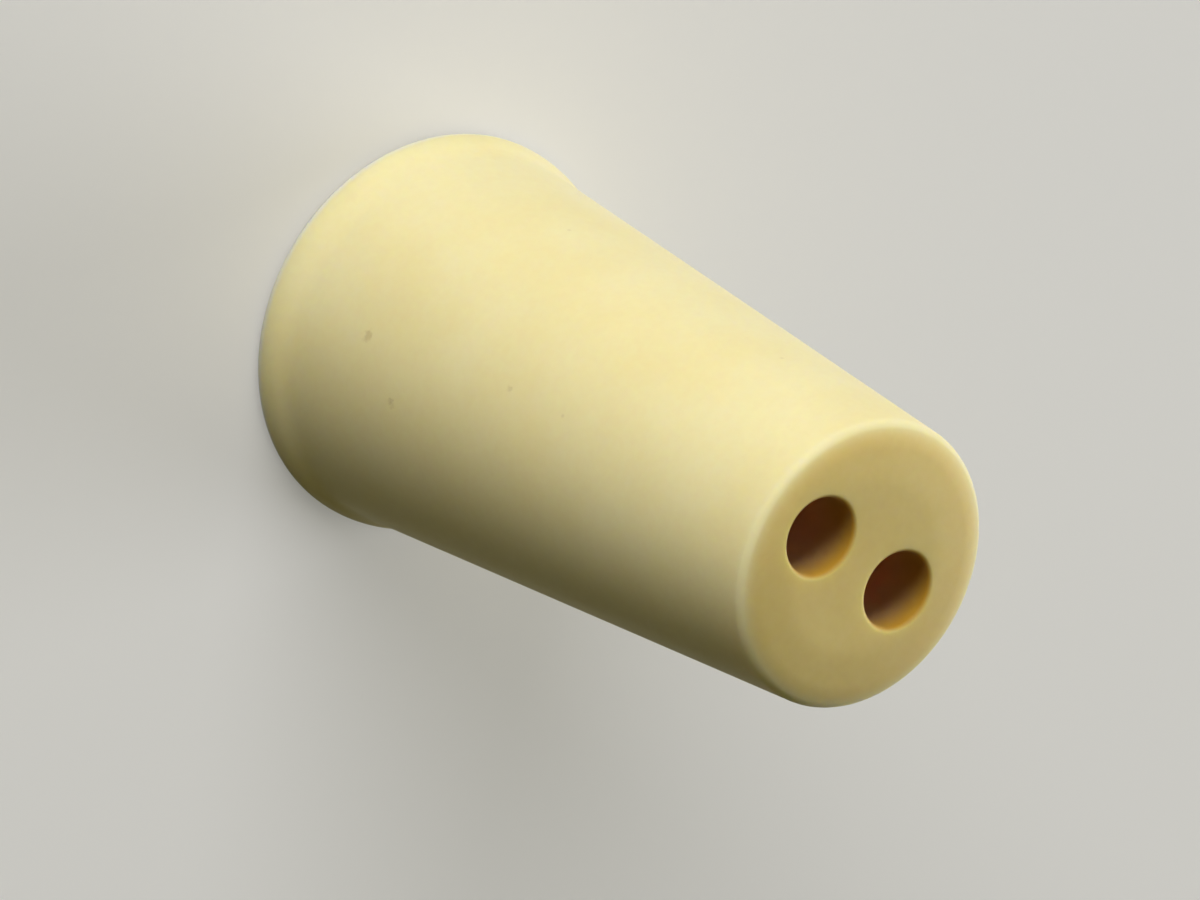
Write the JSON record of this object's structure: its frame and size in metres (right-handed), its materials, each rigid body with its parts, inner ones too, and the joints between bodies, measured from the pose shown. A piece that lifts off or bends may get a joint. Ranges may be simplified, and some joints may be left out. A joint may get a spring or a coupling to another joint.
{
  "type": "rubber stopper",
  "caption": "Tapered moulded rubber stopper for a flask or tube neck, with a low collar at its large end and straight through holes for glass tubes.",
  "frame": {"origin": "centre of the large end's flat face, on which the stopper stands", "axes": "+Z along the stopper's axis, from the large end up to the small end; +X along the row of tube holes, towards the side that the row is shifted to"},
  "size_m": [0.015, 0.015, 0.026],
  "materials": {
    "rubber": "smooth cream-yellow natural rubber, matt with a faint sheen"
  },
  "bodies": {
    "root": {"stopper": "rubber"}
  },
  "joints": []
}
